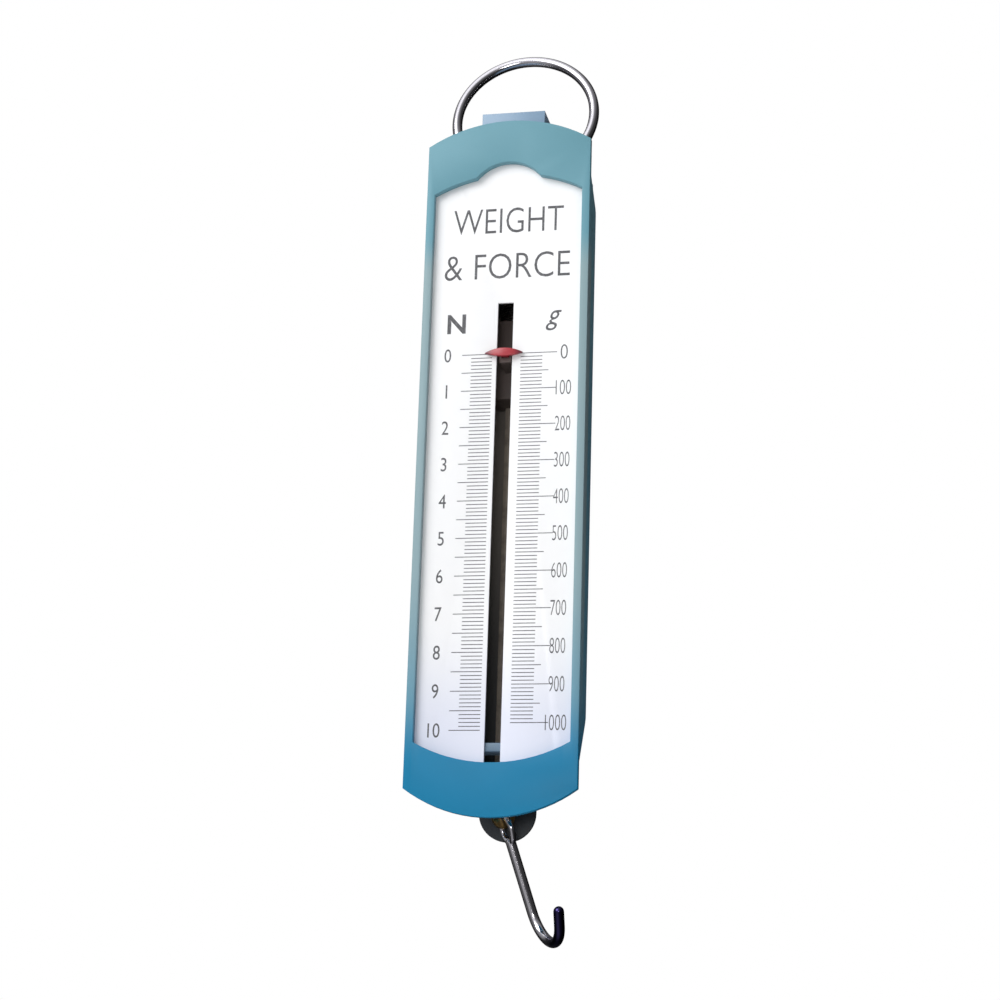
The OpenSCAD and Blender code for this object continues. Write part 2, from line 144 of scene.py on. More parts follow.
def colour(name, description, value):
    """A linear colour property."""
    return FloatVectorProperty(name=name, description=description, default=value, size=3,
                               min=0.0, max=1.0, subtype="COLOR")


def wording(name, description, value):
    """A property for words on the dial."""
    return StringProperty(name=name, description=description, default=value)


def amount(name, description, value):
    """A plain number that is never below 0."""
    return FloatProperty(name=name, description=description, default=value, min=0.0)


class SPRINGSCALE_PG_sizes(bpy.types.PropertyGroup):
    """Sizes of the pieces that are modelled here."""

    wire: length("Ring wire", "Diameter of the hanging ring's wire", 0.0028)
    ring_radius: length("Ring radius", "Radius of the ring's centreline", 0.0195)
    bar_drop: length("Bar drop", "Height of the ring's centre above its hinge bar", 0.0116)
    ring_corner: length("Ring corner", "Radius of the bends between the arc and the bar", 0.0024)
    ring_lean: angle("Ring lean", "Backward lean of the ring at rest", 11)
    coil_wire: length("Spring wire", "Diameter of the spring's wire", 0.0007)
    coils: IntProperty(name="Coils", description="Number of coils in the spring", default=40,
                       min=10, max=60)
    eye_radius: length("Eye radius", "Radius of the hook's eye, on its centreline", 0.0034)
    eye_wire: length("Eye wire", "Diameter of the wire in the eye", 0.0016)
    hook_wire: length("Hook wire", "Diameter of the hook's wire", 0.0027)
    shank: length("Shank", "Length of the shank from the top of the eye", 0.025)
    bend_radius: length("Bend radius", "Radius of the hook's bend, on its centreline", 0.0085)
    bend: angle("Bend", "Angle that the hook's wire bends through", 145)
    tip: length("Tip", "Length of the straight tip", 0.0045)
    hook_turn: angle("Hook turn", "Turn of the hook about the load line", 59)
    hook_lean: angle("Hook lean", "Sideways lean of the hook at rest", 20)
    frame_edge: length("Frame edge", "Rounding of the front frame's edges", 0.00038)
    case_edge: length("Case edge", "Rounding of the rear case's edges", 0.0006)
    channel_edge: length("Channel edge", "Rounding of the channel's edges", 0.00025)
    stop_edge: length("Stop edge", "Rounding of the slot's crossbar", 0.0003)
    plate_edge: length("Plate edge", "Rounding of the dial's edges", 0.0001)
    block_edge: length("Block edge", "Rounding of the hanger block's edges", 0.0005)
    pointer_edge: length("Pointer edge", "Rounding of the pointer's edges", 0.00022)
    carrier_edge: length("Carrier edge", "Rounding of the carrier's edges", 0.0003)
    bar_edge: length("Bar edge", "Rounding of the draw bar's edges", 0.0002)
    swivel_edge: length("Swivel edge", "Rounding of the swivel's edges", 0.00015)
    print_depth: length("Print depth", "Height of the print above the dial", 0.00002)
    line: length("Line", "Thickness of a line of the scale", 0.00021)
    slot_edge: length("Slot edge", "Half width of the slot in the dial", 0.0021)
    newton_digit: length("Newton figures", "Height of the figures of the newton scale", 0.0037)
    gram_digit: length("Gram figures", "Height of the figures of the gram scale", 0.0040)
    title_height: length("Title height", "Height of the capitals of the title", 0.0072)


class SPRINGSCALE_PG_words(bpy.types.PropertyGroup):
    """Generic lettering of the dial."""

    upper: wording("Upper line", "Upper line of the title", "WEIGHT")
    lower: wording("Lower line", "Lower line of the title", "& FORCE")
    left_unit: wording("Left unit", "Unit of the left scale", "N")
    right_unit: wording("Right unit", "Unit of the right scale", "g")


class SPRINGSCALE_PG_colours(bpy.types.PropertyGroup):
    """Base colours of the finishes, and how rough they are."""

    case: colour("Case", "Moulded blue of the frame and the rear case", (0.006, 0.185, 0.350))
    # Painted sheen: the case's greyer, paler blue towards the top stands in for light on the
    # plastic
    case_faded: colour("Faded case", "Greyer blue of the case where it has faded",
                       (0.150, 0.330, 0.390))
    case_rough: share("Case roughness", "Roughness of the moulded case", 0.38)
    block: colour("Hanger block", "Pale blue grey of the hanger block", (0.23, 0.345, 0.475))
    dial: colour("Dial", "White of the dial plate", (0.90, 0.90, 0.905))
    # Painted shade: the lavender at the dial's foot stands in for the light falling off towards the
    # bottom
    dial_low: colour("Dial foot", "Faint lavender at the foot of the dial", (0.66, 0.69, 0.83))
    ink: colour("Ink", "Dark grey of the print", (0.072, 0.072, 0.078))
    # Painted sheen: the rails' lighter grey blue stands in for light on their rounded faces
    rail: colour("Rails", "Grey blue of the frame's two rails, where hands have worn them",
                 (0.300, 0.385, 0.395))
    # Painted shade: the darker red at the pointer's two ends stands in for shade on the arched
    # pointer
    pointer_end: colour("Pointer's ends", "Dark red of the pointer's two ends",
                        (0.150, 0.030, 0.045))
    pointer: colour("Pointer", "Red of the pointer", (0.40, 0.036, 0.048))
    dust: colour("Channel's dust", "Brown-grey dust inside the channel, behind the slot",
                 (0.300, 0.268, 0.238))
    black: colour("Black plastic", "Black of the channel and the guide", (0.020, 0.024, 0.029))
    pale: colour("Pale plastic", "Grey blue of the slot's stop", (0.125, 0.195, 0.270))
    chrome: colour("Chrome", "Bright plating of the ring and the hook", (0.66, 0.64, 0.68))
    # Painted reflection: the hook's dark blue bend and tip stand in for the dark room mirrored in
    # the chrome
    dark_end: colour("Dark end", "Blued finish on the hook's bend and tip", (0.050, 0.040, 0.130))
    steel: colour("Steel", "Bare steel of the spring and the screws", (0.42, 0.40, 0.38))
    strip: colour("Draw bar", "Dull brown-grey scale on the rolled draw bar", (0.52, 0.45, 0.38))
    carrier: colour("Carrier", "Dark brown plastic of the pointer's carrier", (0.150, 0.115, 0.105))
    brass: colour("Brass", "Brass of the swivel and the spring's anchor", (0.62, 0.40, 0.15))


class SPRINGSCALE_PG_stage(bpy.types.PropertyGroup):
    """Camera and light."""

    azimuth: angle("Azimuth", "Direction of the camera, to the right of the dial's axis", 12.12)
    elevation: angle("Elevation", "Height of the camera above the level", -15.41)
    roll: angle("Roll", "Roll of the camera", 1.79)
    distance: length("Distance", "Distance from the camera to its target", 0.5627)
    lens: amount("Lens", "Focal length of the camera in millimetres", 78.65)
    target: FloatVectorProperty(name="Target", description="Point that the camera looks at",
                                size=3, default=(0.00047, FACE, ZERO - 0.04054),
                                subtype="TRANSLATION")
    floor_drop: length("Floor drop", "Depth of the floor below the scale's origin", 0.90)
    daylight: amount("Daylight", "Strength of the soft surrounding light", 0.84)
    key: amount("Key", "Power of the large soft light, in watts", 10.5)
    front_share: share("Front share", "Power of the small front light, as a share of the key's",
                       0.12)


# ---------- modelling helpers ----------


def clear():
    """Leaves edit mode and deselects everything."""
    if bpy.context.object and bpy.context.object.mode != "OBJECT":
        bpy.ops.object.mode_set(mode="OBJECT")
    bpy.ops.object.select_all(action="DESELECT")


def pick(kind, test):
    """Selects, in edit mode, what passes a test of its middle and normal, or an edge's run."""
    bpy.ops.mesh.select_mode(type=kind)
    bpy.ops.mesh.select_all(action="DESELECT")
    mesh = bmesh.from_edit_mesh(bpy.context.object.data)
    if kind == "VERT":
        for vertex in mesh.verts:
            vertex.select_set(bool(test(vertex.co, vertex.normal)))
    elif kind == "EDGE":
        for edge in mesh.edges:
            middle = (edge.verts[0].co + edge.verts[1].co) / 2
            edge.select_set(bool(test(middle, edge.verts[1].co - edge.verts[0].co)))
    else:
        for face in mesh.faces:
            face.select_set(bool(test(face.calc_center_median(), face.normal)))
    mesh.select_flush_mode()
    bmesh.update_edit_mesh(bpy.context.object.data)


def extrude(move):
    """Extrudes the selection along a vector."""
    bpy.ops.mesh.extrude_region_move(TRANSFORM_OT_translate={"value": move})


def resize(factor, centre):
    """Scales the selection about a point."""
    bpy.ops.transform.resize(value=(factor,) * 3, center_override=centre)


def dome(direction, radius, centre):
    """Closes the selected open ring with a half sphere that points along a direction."""
    direction, steps = Vector(direction).normalized(), 6
    centre, was = Vector(centre), 1.0
    for step in range(1, steps):
        turn = math.pi / 2 * step / steps
        rise = radius * (math.sin(turn) - math.sin(turn - math.pi / 2 / steps))
        extrude(direction * rise)
        centre = centre + direction * rise
        resize(math.cos(turn) / was, centre)
        was = math.cos(turn)
    bpy.ops.mesh.edge_face_add()


def outward():
    """Merges doubles and turns every face of the object in edit mode outwards."""
    bpy.ops.mesh.select_all(action="SELECT")
    bpy.ops.mesh.remove_doubles(threshold=CLOSE)
    bpy.ops.mesh.normals_make_consistent(inside=False)


def apply_modifiers(piece):
    """Applies every modifier of a piece."""
    clear()
    piece.select_set(True)
    bpy.context.view_layer.objects.active = piece
    for modifier in list(piece.modifiers):
        bpy.ops.object.modifier_apply(modifier=modifier.name)


def round_edges(piece, width, segments=3):
    """Rounds the sharp edges of a piece with a bevel."""
    bevel = piece.modifiers.new("Rounding", "BEVEL")
    bevel.width, bevel.segments = width, segments
    bevel.limit_method, bevel.angle_limit = "ANGLE", math.radians(SHARP)
    bevel.use_clamp_overlap = True
    apply_modifiers(piece)


def copy_of(node, name):
    """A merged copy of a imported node, as a new piece with clean flat faces."""
    clear()
    piece = bpy.data.objects.new(name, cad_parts[node].data.copy())
    bpy.context.scene.collection.objects.link(piece)
    piece.data.materials.clear()
    piece.select_set(True)
    bpy.context.view_layer.objects.active = piece
    bpy.ops.object.mode_set(mode="EDIT")
    bpy.ops.mesh.select_all(action="SELECT")
    bpy.ops.mesh.remove_doubles(threshold=CLOSE)
    bpy.ops.mesh.dissolve_limited(angle_limit=math.radians(FLAT))
    bpy.ops.object.mode_set(mode="OBJECT")
    return piece


def turned_copy(piece, matrix):
    """A copy of a piece with its own mesh, moved by a matrix."""
    copied = bpy.data.objects.new(piece.name + "_copy", piece.data.copy())
    bpy.context.scene.collection.objects.link(copied)
    copied.data.transform(matrix)
    return copied


def joined(pieces):
    """Joins pieces into the first one."""
    clear()
    for piece in pieces:
        piece.select_set(True)
    bpy.context.view_layer.objects.active = pieces[0]
    if len(pieces) > 1:
        bpy.ops.object.join()
    return pieces[0]


def settle(piece, name, body, finish, nodes=(), smooth=34):
    """Puts a finished piece at the origin, finishes it, and says what it rides on and replaces."""
    clear()
    piece.select_set(True)
    bpy.context.view_layer.objects.active = piece
    bpy.ops.object.transform_apply(location=True, rotation=True, scale=True)
    bpy.ops.object.shade_smooth_by_angle(angle=math.radians(smooth))
    piece.name = name
    piece.data.name = name
    piece.data.materials.clear()
    piece.data.materials.append(finish)
    if body:
        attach(piece, body)
    if nodes:
        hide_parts(*nodes)
    return piece


# ---------- finishes ----------

# Stretch of a pattern that is alike all ways, of drawn lines and of rolled lines
ALIKE = (1.0, 1.0, 1.0)
DRAWN = (1.0, 1.0, 0.12)
ROLLED = (1.0, 1.0, 0.03)


class Signal:
    """A socket that adds Math nodes as it is used in an expression."""

    def __init__(self, network, socket):
        self.network, self.socket = network, socket

    def maths(self, operation, first, second):
        return self.network.node("ShaderNodeMath", {"operation": operation}, {0: first, 1: second})

    def __add__(self, other):
        return self.maths("ADD", self, other)

    __radd__ = __add__

    def __sub__(self, other):
        return self.maths("SUBTRACT", self, other)

    def __rsub__(self, other):
        return self.maths("SUBTRACT", other, self)

    def __mul__(self, other):
        return self.maths("MULTIPLY", self, other)

    __rmul__ = __mul__

    def __pow__(self, other):
        return self.maths("POWER", self, other)


class Network:
    """The nodes of a material or of the world."""

    def __init__(self, tree):
        self.tree = tree

    def node(self, kind, settings=None, inputs=None, output=0):
        """Adds a node, sets it, feeds its sockets, and returns one of its outputs."""
        made = self.tree.nodes.new(kind)
        for key, value in (settings or {}).items():
            setattr(made, key, value)
        for key, value in (inputs or {}).items():
            self.feed(made.inputs[key], value)
        return Signal(self, made.outputs[output])

    def feed(self, socket, value):
        """Links a signal to a socket, or sets the socket's own value."""
        if isinstance(value, Signal):
            self.tree.links.new(value.socket, socket)
        elif socket.type == "RGBA" and len(value) == 3:
            socket.default_value = (*value, 1.0)
        else:
            socket.default_value = value

    def ramp(self, signal, low, high, bottom=0.0, top=1.0):
        """A signal that goes smoothly from one value at low to another at high."""
        return self.node("ShaderNodeMapRange", {"interpolation_type": "SMOOTHSTEP"}, {
            "Value": signal, "From Min": low, "From Max": high, "To Min": bottom,
            "To Max": top}, "Result")


class Finish(Network):
    """A procedural material with one main shader."""

    def __init__(self, name, constants):
        self.material = bpy.data.materials.new(name)
        self.material.use_nodes = True
        super().__init__(self.material.node_tree)
        self.shader = self.tree.nodes["Principled BSDF"]
        for socket, value in constants.items():
            self.shader.inputs[socket].default_value = value
        self.place = self.node("ShaderNodeTexCoord", output="Object")

    def noise(self, scale, detail=2.0, roughness=0.5, stretch=ALIKE):
        """Noise on the object's own coordinates; the scale is in cells per metre."""
        spread = self.node("ShaderNodeMapping", None, {"Vector": self.place, "Scale": stretch})
        return self.node("ShaderNodeTexNoise", None, {
            "Vector": spread, "Scale": scale, "Detail": detail, "Roughness": roughness}, "Fac")

    def height(self):
        """Height in the object's coordinates."""
        return self.node("ShaderNodeSeparateXYZ", None, {0: self.place}, "Z")

    def across(self):
        """Distance to the right in the object's coordinates."""
        return self.node("ShaderNodeSeparateXYZ", None, {0: self.place}, "X")

    def mix(self, factor, first, second):
        """A mix of two colours."""
        return self.node("ShaderNodeMix", {"data_type": "RGBA"},
                         {0: factor, 6: first, 7: second}, 2)

    def bump(self, height, strength, distance):
        """Feeds the shader's normal from a height."""
        self.feed(self.shader.inputs["Normal"], self.node("ShaderNodeBump", None, {
            "Height": height, "Strength": strength, "Distance": distance}))

    def base(self, value):
        """Feeds the shader's base colour."""
        self.feed(self.shader.inputs["Base Color"], value)

    def rough(self, value):
        """Feeds the shader's roughness."""
        self.feed(self.shader.inputs["Roughness"], value)


def shade(value, factor):
    """A colour made lighter or darker."""
    return tuple(min(1.0, part * factor) for part in value)


def moulded(name, tone, rough, grain=2600.0, depth=0.00003, sheen_and_dust=None, sheen_and_dust_ramps=(), gloss=0.5,
            sides=None):
    """Moulded plastic: a fine grain, slow changes of tone and gloss, and a few rubbed specks.

    It can turn with height to another tone, painted sheen on the case and dust in the channel, and
    to another colour at its two sides, painted sheen on the frame's rails and painted shade at the
    pointer's ends."""
    finish = Finish(name, {"IOR": 1.48, "Specular IOR Level": gloss})
    drift, fine = finish.noise(55.0, 3.0), finish.noise(grain, 2.0, 0.6)
    specks = finish.ramp(finish.noise(900.0, 4.0, 0.7), 0.66, 0.74)
    surface = finish.mix(drift, shade(tone, 0.90), shade(tone, 1.10))
    if sheen_and_dust is not None:
        height = finish.height()
        # Ramps with height: painted sheen on the case, dust in the channel
        worn = [finish.ramp(height, low, high) * part for low, high, part in sheen_and_dust_ramps]
        surface = finish.mix(worn[0] + worn[1], surface, sheen_and_dust)
    # Colour at the two sides: painted sheen on the frame's rails, painted shade at the pointer's
    # ends
    if sides is not None:
        side, start, full, strength = sides
        mask = finish.ramp(finish.across() ** 2.0, start ** 2, full ** 2)
        if sheen_and_dust is not None:
            foot = finish.ramp(finish.height(), *WINDOW_FOOT)
            mask = mask * (foot * finish.ramp(finish.height(), *WINDOW_HEAD))
        surface = finish.mix(mask * strength, surface, side)
    finish.base(finish.mix(specks * 0.10, surface, shade(tone, 1.9)))
    finish.rough(rough - 0.05 + drift * 0.06 + fine * 0.06 + specks * 0.05)
    finish.bump(fine, 0.30, depth)
    return finish.material


def plated(name, tone, worn=0.35, dark=None, border=None):
    """Bright plating: faint swirls, fine drawing lines, and specks where it has dulled.

    Past a border that leans with height it can turn to a dark colour, a painted dark reflection."""
    finish = Finish(name, {"Metallic": 1.0})
    swirl, lines = finish.noise(320.0, 3.0), finish.noise(1500.0, 2.0, 0.6, DRAWN)
    dull = finish.ramp(finish.noise(1300.0, 4.0, 0.7), 0.60, 0.72)
    surface = finish.mix(dull * worn, tone, shade(tone, 0.45))
    # The dark colour past the border is a painted reflection in the chrome
    if dark is not None:
        top, slope, start, full = border
        beyond = finish.across() + (finish.height() - top) * slope
        ragged = beyond + (swirl - 0.5) * 0.003
        surface = finish.mix(finish.ramp(ragged, start, full), surface, dark)
    finish.base(surface)
    finish.rough(0.09 + swirl * 0.06 + dull * 0.16)
    finish.bump(lines, 0.05, 0.00001)
    return finish.material


def drawn_metal(name, tone, rough, stretch=ALIKE, metal=1.0):
    """Drawn or rolled metal: long fine lines with a little tarnish."""
    finish = Finish(name, {"Metallic": metal})
    lines = finish.noise(5200.0, 3.0, 0.7, stretch)
    tarnish = finish.ramp(finish.noise(240.0, 4.0, 0.6), 0.42, 0.70)
    clean = finish.mix(lines, shade(tone, 0.8), shade(tone, 1.2))
    finish.base(finish.mix(tarnish * 0.55, clean, shade(tone, 0.45)))
    finish.rough(rough - 0.08 + lines * 0.14 + tarnish * 0.14)
    finish.bump(lines, 0.25, 0.00002)
    return finish.material


def printed_plate(name, tone, foot_shade_tone, foot, top):
    """Satin white plate: paper-fine grain, faint mottling, and a painted cool shade at its foot."""
    finish = Finish(name, {"IOR": 1.46, "Specular IOR Level": 0.4})
    mottle, grain = finish.noise(180.0, 5.0, 0.65), finish.noise(3400.0, 2.0)
    surface = finish.mix(mottle, shade(tone, 0.975), shade(tone, 1.02))
    # Painted shade: lavender towards the dial's foot
    finish.base(finish.mix(finish.ramp(finish.height(), top, foot) * 0.75, surface, foot_shade_tone))
    finish.rough(0.42 + mottle * 0.10 + grain * 0.05)
    finish.bump(grain, 0.10, 0.00001)
    return finish.material


def ink(name, tone):
    """Screen print: dense ink, slightly thin in places."""
    finish = Finish(name, {"IOR": 1.5})
    thin, grain = finish.noise(2100.0, 4.0, 0.7), finish.noise(5000.0)
    finish.base(finish.mix(finish.ramp(thin, 0.45, 0.78) * 0.6, tone, shade(tone, 5.0)))
    finish.rough(0.46 + thin * 0.2)
    finish.bump(grain, 0.15, 0.000008)
    return finish.material


FINISHES = {}


def make_finishes(colours):
    """Makes every finish once, and keeps it by its slot's name."""
    # The case's painted sheen, greyer towards the top
    case_sheen_args = {"sheen_and_dust": colours.case_faded, "sheen_and_dust_ramps": CASE_SHEEN_RAMPS, "gloss": 0.22}
    FINISHES.update({
        "case_plastic": moulded("case_plastic", colours.case, colours.case_rough, **case_sheen_args),
        # The frame's rails get a painted sheen
        "frame_plastic": moulded("frame_plastic", colours.case, colours.case_rough,
                                 sides=(colours.rail, *RAIL_SIDES), **case_sheen_args),
        "hanger_plastic": moulded("hanger_plastic", colours.block, 0.32),
        "dial_plate": printed_plate("dial_plate", colours.dial, colours.dial_low, *PLATE_FOOT_SHADE),
        "dial_ink": ink("dial_ink", colours.ink),
        # The pointer is darker at its ends: painted shade
        "pointer_red": moulded("pointer_red", colours.pointer, 0.24, 1800.0, 0.00001,
                               sides=(colours.pointer_end, *POINTER_SIDES)),
        "black_plastic": moulded("black_plastic", colours.black, 0.42),
        "channel_plastic": moulded("channel_plastic", colours.black, 0.42, sheen_and_dust=colours.dust,
                                   sheen_and_dust_ramps=DUST_FADES),
        "carrier_plastic": moulded("carrier_plastic", colours.carrier, 0.48),
        "pale_plastic": moulded("pale_plastic", colours.pale, 0.36),
        "chrome_wire": plated("chrome_wire", colours.chrome),
        # The hook's bend and tip get a painted dark reflection
        "hook_wire": plated("hook_wire", shade(colours.chrome, 1.2), 0.60, colours.dark_end,
                            DARK_BORDER),
        "bar_steel": drawn_metal("bar_steel", colours.strip, 0.52, ROLLED, 0.45),
        "screw_steel": drawn_metal("screw_steel", shade(colours.steel, 1.4), 0.28),
        "spring_steel": drawn_metal("spring_steel", shade(colours.steel, 1.2), 0.26),
        "brass": drawn_metal("brass", colours.brass, 0.30),
        "rubber": moulded("rubber", shade(colours.black, 1.8), 0.72, 1500.0, 0.00006),
    })


class Maker:
    """What every operator of this add-on shares."""

    bl_options = {"REGISTER", "UNDO"}

    @property
    def sizes(self):
        """The sizes that the scene holds."""
        return bpy.context.scene.springscale_sizes


class SPRINGSCALE_OT_finishes(Maker, bpy.types.Operator):
    """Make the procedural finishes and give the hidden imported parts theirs"""

    bl_idname = "springscale.finishes"
    bl_label = "Finishes"

    def execute(self, context):
        make_finishes(context.scene.springscale_colours)
        kept = {
            "channel_screws": "screw_steel",
            "anchor_pin": "screw_steel",
            "draw_bar_pins": "screw_steel",
            "guide_pin": "screw_steel",
            "swivel_washer": "screw_steel",
            "return_buffer": "rubber",
            "spring_anchor": "brass",
            "bottom_guide": "black_plastic",
        }
        for node, slot in kept.items():
            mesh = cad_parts[node].data
            mesh.materials.clear()
            mesh.materials.append(FINISHES[slot])
        return {"FINISHED"}


# ---------- ring, block and screws ----------


class SPRINGSCALE_OT_ring(Maker, bpy.types.Operator):
    """Bend the hanging ring from one round wire"""

    bl_idname = "springscale.ring"
    bl_label = "Hanging ring"

    def execute(self, context):
        size = self.sizes
        clear()
        bpy.ops.mesh.primitive_circle_add(vertices=144, radius=size.ring_radius, location=(0, 0, 0))
        wire = context.object
        bpy.ops.object.mode_set(mode="EDIT")
        bpy.ops.mesh.select_all(action="SELECT")
        bpy.ops.mesh.bisect(plane_co=(0, -size.bar_drop, 0), plane_no=(0, 1, 0), clear_inner=True)
        pick("VERT", lambda at, normal: at.y < CLOSE - size.bar_drop)
        bpy.ops.mesh.edge_face_add()
        pick("VERT", lambda at, normal: at.y < CLOSE - size.bar_drop)
        bpy.ops.mesh.bevel(offset=size.ring_corner, segments=8, affect="VERTICES")
        bpy.ops.mesh.select_all(action="SELECT")
        bpy.ops.mesh.remove_doubles(threshold=CLOSE)
        bpy.ops.object.mode_set(mode="OBJECT")
        bar = Vector((0, LOAD_Y, RING_LOW.z + size.wire / 2))
        upright = Matrix.Rotation(math.pi / 2 - size.ring_lean, 4, "X")
        wire.data.transform(Matrix.Translation(bar) @ upright
                            @ Matrix.Translation((0, size.bar_drop, 0)))
        bpy.ops.object.convert(target="CURVE")
        curve = context.object.data
        curve.bevel_depth, curve.bevel_resolution = size.wire / 2, 6
        bpy.ops.object.convert(target="MESH")
        bpy.ops.object.mode_set(mode="EDIT")
        outward()
        settle(context.object, "ring_wire", "ring", FINISHES["chrome_wire"],
               ["hanging_ring"], smooth=60)
        return {"FINISHED"}


class SPRINGSCALE_OT_block(Maker, bpy.types.Operator):
    """Shape the hanger block with its rounded edges"""

    bl_idname = "springscale.block"
    bl_label = "Hanger block"

    def execute(self, context):
        piece = copy_of("hanger_block", "hanger_tab")
        round_edges(piece, self.sizes.block_edge)
        settle(piece, "hanger_tab", "case", FINISHES["hanger_plastic"],
               ["hanger_block"])
        return {"FINISHED"}


def screw(head_radius, head_height, shank_radius, shank_length):
    """A pan-head screw with a cross recess; its head rises along +Z from the origin."""
    rounding, point, blunt = head_height * 0.55, 0.0006, 0.6
    wing, blade, recess = head_radius * 0.62, head_radius * 0.24, head_height * 1.3
    clear()
    bpy.ops.mesh.primitive_cylinder_add(vertices=40, radius=head_radius, depth=head_height,
                                        location=(0, 0, head_height / 2))
    body = bpy.context.object
    bpy.ops.object.transform_apply(location=True, rotation=False, scale=False)
    bpy.ops.object.mode_set(mode="EDIT")
    pick("FACE", lambda at, normal: normal.z > 0.9)
    bpy.ops.mesh.bevel(offset=rounding, segments=5, affect="EDGES")
    pick("FACE", lambda at, normal: normal.z < -0.9)
    bpy.ops.mesh.inset(thickness=head_radius - shank_radius)
    extrude((0, 0, point - shank_length))
    extrude((0, 0, -point))
    resize(blunt, (0, 0, -shank_length))
    bpy.ops.object.mode_set(mode="OBJECT")
    for turn in (0, math.pi / 2):
        clear()
        bpy.ops.mesh.primitive_cube_add(size=1, location=(0, 0, head_height))
        cutter = bpy.context.object
        cutter.scale = (2 * wing, blade, recess)
        cutter.rotation_euler.z = turn
        bpy.ops.object.transform_apply(location=True, rotation=True, scale=True)
        cut = body.modifiers.new("Recess", "BOOLEAN")
        cut.operation, cut.solver, cut.object = "DIFFERENCE", "EXACT", cutter
        apply_modifiers(body)
        bpy.data.objects.remove(cutter)
    return body


def screws_at(reach, spots):
    """Copies of one screw at each spot: the foot of its head, and the way its head points."""
    model = screw(SCREW_HEAD, SCREW_RISE, SCREW_SHANK, reach)
    made = []
    for number, (foot, direction) in enumerate(spots):
        aim = Vector(direction).to_track_quat("Z", "Y").to_matrix().to_4x4()
        twist = Matrix.Rotation(math.radians(17 + 31 * number), 4, "Z")
        made.append(turned_copy(model, Matrix.Translation(foot) @ aim @ twist))
    bpy.data.objects.remove(model)
    return joined(made)


class SPRINGSCALE_OT_screws(Maker, bpy.types.Operator):
    """Turn the end screws and the hanger's screws, with domed heads and cross recesses"""

    bl_idname = "springscale.screws"
    bl_label = "Screws"

    def execute(self, context):
        low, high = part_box("case_screws")
        foot = high.y - SCREW_RISE
        spots = [((x, foot, z), (0, 1, 0)) for x in (low.x + SCREW_HEAD, high.x - SCREW_HEAD)
                 for z in (low.z + SCREW_HEAD, high.z - SCREW_HEAD)]
        rear = screws_at(foot - low.y, spots)
        settle(rear, "end_screws", "case", FINISHES["screw_steel"],
               ["case_screws"])
        low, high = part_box("hanger_screws")
        middle = ((low.y + high.y) / 2, (low.z + high.z) / 2)
        spots = [((way * (high.x - SCREW_RISE), *middle), (way, 0, 0)) for way in (-1, 1)]
        side = screws_at(SIDE_SCREW_REACH, spots)
        settle(side, "hanger_side_screws", "case", FINISHES["screw_steel"],
               ["hanger_screws"])
        return {"FINISHED"}


# ---------- case and dial ----------


class SPRINGSCALE_OT_case(Maker, bpy.types.Operator):
    """Shape the front frame, the rear case, the channel and the slot's stop"""

    bl_idname = "springscale.case"
    bl_label = "Case"

    def execute(self, context):
        size = self.sizes
        parts = (
            ("front_frame", "dial_frame", size.frame_edge, "frame_plastic", "case_plastic"),
            ("rear_case", "back_shell", size.case_edge, "case_plastic", "case_plastic"),
            ("spring_channel", "channel_moulding", size.channel_edge, "channel_plastic",
             "black_plastic"),
            ("slot_stop", "slot_crossbar", size.stop_edge, "pale_plastic", "pale_plastic"),
            ("scale_plate", "dial_face", size.plate_edge, "dial_plate", "dial_plate"),
        )
        for node, name, width, finish, slot in parts:
            piece = copy_of(node, name)
            round_edges(piece, width)
            settle(piece, name, "case", FINISHES[finish], [node])
        return {"FINISHED"}


def lettering(text, centre, height, width=None, heavy=0.0, slant=0.0):
    """Raised lettering on the dial, centred at a spot in x and z, with a set height and width."""
    clear()
    bpy.ops.object.text_add()
    words = bpy.context.object
    words.data.body, words.data.align_x = text, "CENTER"
    words.data.resolution_u, words.data.offset, words.data.shear = 4, heavy, slant
    words.data.extrude = 0.01
    bpy.ops.object.convert(target="MESH")
    piece = bpy.context.object
    bpy.ops.object.mode_set(mode="EDIT")
    bpy.ops.mesh.select_all(action="SELECT")
    bpy.ops.mesh.remove_doubles(threshold=CLOSE_LETTERS)
    bpy.ops.object.mode_set(mode="OBJECT")
    spots = [vertex.co for vertex in piece.data.vertices]
    low = Vector((min(s.x for s in spots), min(s.y for s in spots), min(s.z for s in spots)))
    high = Vector((max(s.x for s in spots), max(s.y for s in spots), max(s.z for s in spots)))
    span, middle = high - low, (low + high) / 2
    tall = height / span.y
    wide = tall * NARROW if width is None else width / span.x
    deep = 2 * bpy.context.scene.springscale_sizes.print_depth / span.z
    spot = Matrix.Translation((centre[0], PLATE_FRONT, centre[1]))
    piece.data.transform(Matrix.Diagonal((wide, tall, deep, 1)) @ Matrix.Translation(-middle))
    piece.data.transform(spot @ Matrix.Rotation(math.pi / 2, 4, "X"))
    return piece


def ruled(start, end, pitch, count, thickness):
    """Lines of the scale between two x values, from the zero line down at a pitch."""
    clear()
    bpy.ops.mesh.primitive_cube_add(size=1, location=((start + end) / 2, PLATE_FRONT, ZERO))
    piece = bpy.context.object
    proud = bpy.context.scene.springscale_sizes.print_depth
    piece.scale = (abs(end - start), 2 * proud, thickness)
    bpy.ops.object.transform_apply(location=False, rotation=False, scale=True)
    rows = piece.modifiers.new("Rows", "ARRAY")
    rows.count, rows.use_relative_offset, rows.use_constant_offset = count, False, True
    rows.constant_offset_displace = (0, 0, -pitch)
    apply_modifiers(piece)
    bpy.ops.object.transform_apply(location=True, rotation=False, scale=False)
    return piece


